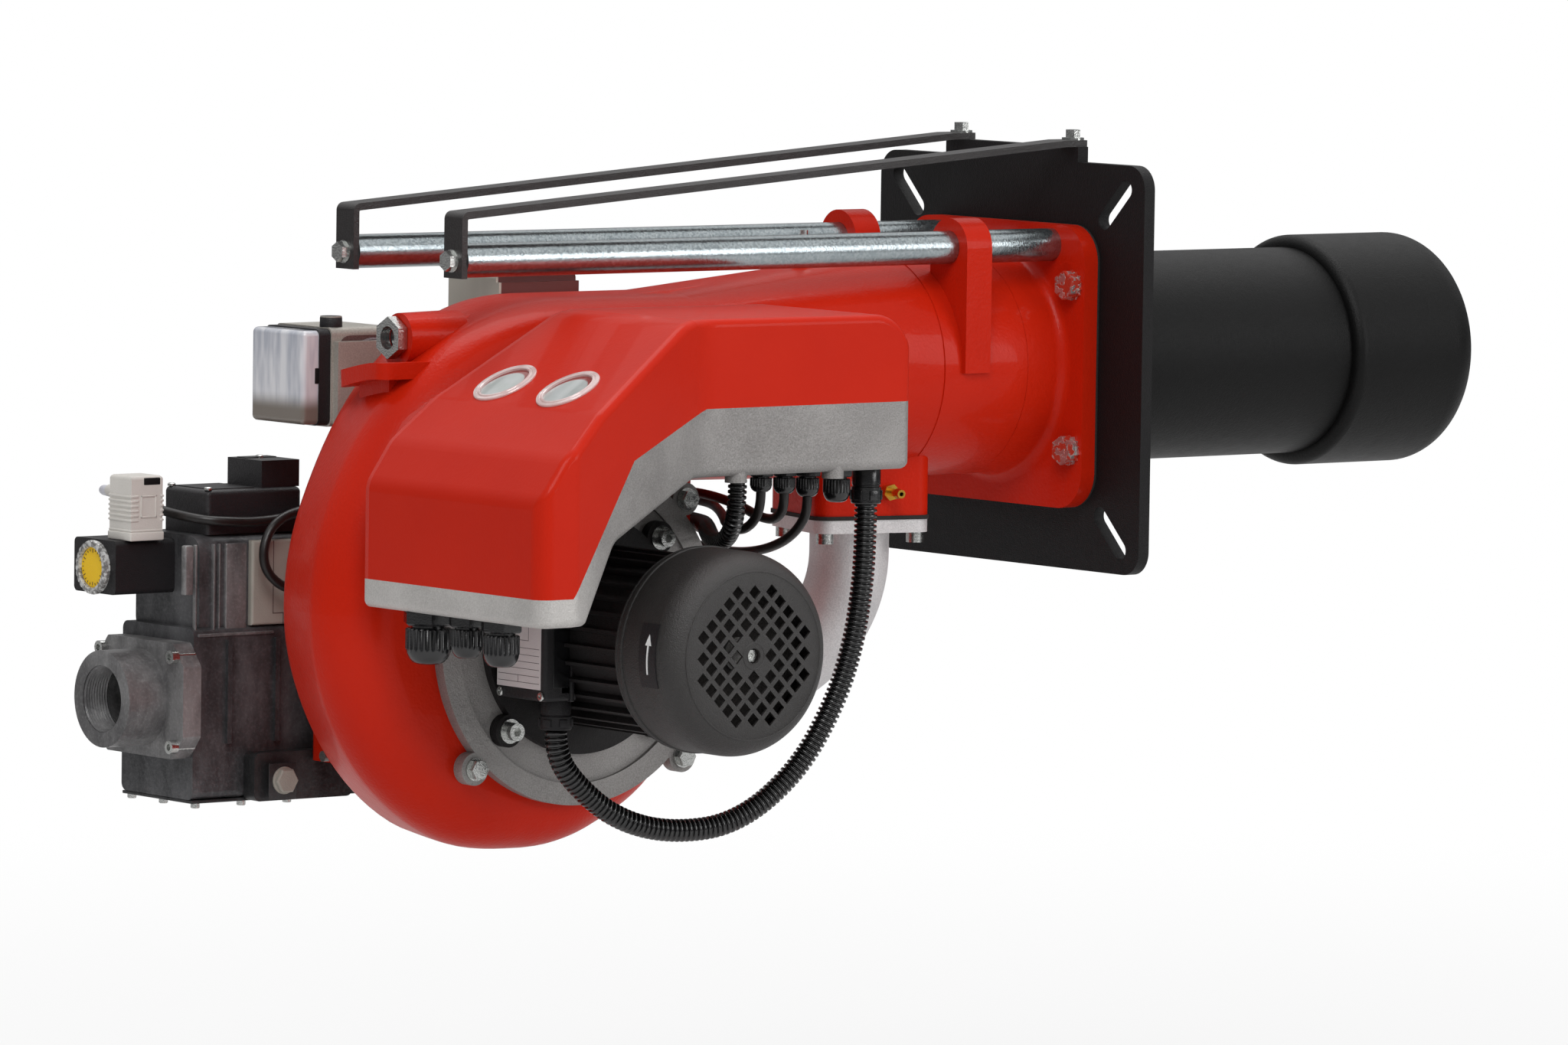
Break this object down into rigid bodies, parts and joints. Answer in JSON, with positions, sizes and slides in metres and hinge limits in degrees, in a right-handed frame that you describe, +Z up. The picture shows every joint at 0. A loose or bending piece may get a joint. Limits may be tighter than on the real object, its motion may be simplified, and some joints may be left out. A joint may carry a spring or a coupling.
{
  "type": "industrial gas burner",
  "caption": "Forced-draught gas burner: flanged flame tube, red blower housing sliding back on two bars, flanged motor, control hood and gas valve train.",
  "frame": {"origin": "centre of the four boiler slots, in the boiler-side face of the mounting plate, on the blast tube's axis", "axes": "+X along the blast tube into the boiler, +Z up, the motor and the control hood on the -Y side"},
  "size_m": [1.103, 0.5568, 0.5261],
  "materials": {
    "red_paint": "gloss",
    "black_paint": "satin",
    "zinc": "zinc plated",
    "cast_aluminium": "die cast",
    "steel": "machined",
    "cable": "satin",
    "gasket": "matt",
    "black_plastic": "matt",
    "gloss_black": "gloss",
    "grey_plastic": "satin",
    "yellow_plastic": "gloss",
    "clear_plastic": "clear",
    "beige": "satin"
  },
  "bodies": {
    "mount_frame": {"mounting_plate": "black_paint", "flange_gasket": "gasket", "fixed_flange": "red_paint", "flange_bolts": "zinc", "blast_tube": "black_paint", "flame_head": "black_paint", "slide_bars": "zinc", "bar_straps": "black_paint", "strap_bolts": "zinc"},
    "housing": {"air_housing": "red_paint", "sight_glass_nut": "zinc", "sight_glass_pane": "clear_plastic", "air_test_nipple": "zinc", "motor_ring": "cast_aluminium", "ring_screws": "zinc", "motor_plate": "cast_aluminium", "motor_flange": "black_paint", "motor_flange_screws": "zinc", "motor_frame": "black_paint", "motor_rear_shield": "black_paint", "motor_stator": "steel", "motor_bearings": "steel", "fan_cover": "black_plastic", "hood_cover": "red_paint", "hood_base": "cast_aluminium", "hood_windows": "clear_plastic", "front_glands": "gloss_black", "rear_glands": "gloss_black", "terminal_box": "black_plastic", "terminal_lid": "black_plastic", "motor_gland": "gloss_black", "gas_gasket": "gasket", "gas_elbow": "cast_aluminium", "elbow_screws": "zinc", "gas_valve_body": "cast_aluminium", "gas_inlet_flange": "cast_aluminium", "inlet_flange_screws": "zinc", "valve_test_block": "cast_aluminium", "valve_side_cover": "beige", "pressure_switch": "black_plastic", "switch_plug": "grey_plastic", "valve_coils": "black_plastic", "servo_body": "cast_aluminium", "servo_band": "black_plastic", "servo_cover": "clear_plastic", "ignition_transformer": "beige", "air_intake": "red_paint", "gas_head_pipe": "steel", "swirl_plate": "steel", "ignition_electrodes": "steel", "motor_conduit": "cable", "loom_conduit": "cable", "cable_a": "cable", "cable_b": "cable", "cable_c": "cable"},
    "rotor": {"motor_shaft": "steel", "blower_wheel": "steel", "cooling_fan": "black_plastic"},
    "damper": {"air_damper": "steel"},
    "dial": {"pressure_dial": "yellow_plastic"}
  },
  "joints": [
    {"name": "housing_slide", "type": "slide", "parent": "mount_frame", "child": "housing", "axis": [-1, 0, 0], "range_m": [0, 0.4]},
    {"name": "motor_spin", "type": "hinge", "parent": "housing", "child": "rotor", "pos_m": [-0.476, 0, -0.182], "axis": [0, 1, 0], "continuous": true},
    {"name": "damper_turn", "type": "hinge", "parent": "housing", "child": "damper", "pos_m": [-0.476, 0.106, -0.284], "axis": [1, 0, 0], "range_deg": [0, 90]},
    {"name": "dial_turn", "type": "hinge", "parent": "housing", "child": "dial", "pos_m": [-0.698, 0.218, -0.147], "axis": [-1, 0, 0], "range_deg": [0, 270]}
  ]
}
